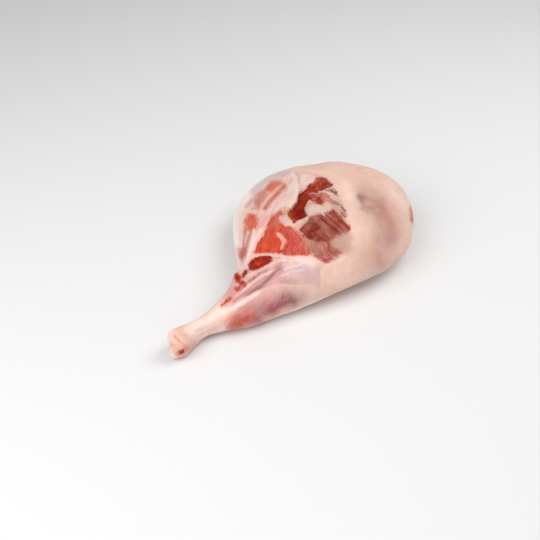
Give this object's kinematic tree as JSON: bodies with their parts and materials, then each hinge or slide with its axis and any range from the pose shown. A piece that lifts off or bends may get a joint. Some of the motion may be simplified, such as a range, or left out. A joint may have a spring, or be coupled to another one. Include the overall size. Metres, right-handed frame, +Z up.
{
  "type": "bone-in leg of lamb",
  "caption": "Raw bone-in leg of lamb lying with its cut inner side up: slim shank to one end, wide fat-covered rump at the other.",
  "frame": {"origin": "on the surface it lies on, under the middle of the bounding box", "axes": "+X along the leg from the hock to the rump, +Y towards the crook side where the rump bulges behind the shank, +Z up out of the cut inner side"},
  "size_m": [0.3922, 0.2284, 0.0872],
  "materials": {
    "leg_of_lamb": "satin"
  },
  "bodies": {
    "root": {"leg_of_lamb": "leg_of_lamb"}
  },
  "joints": []
}
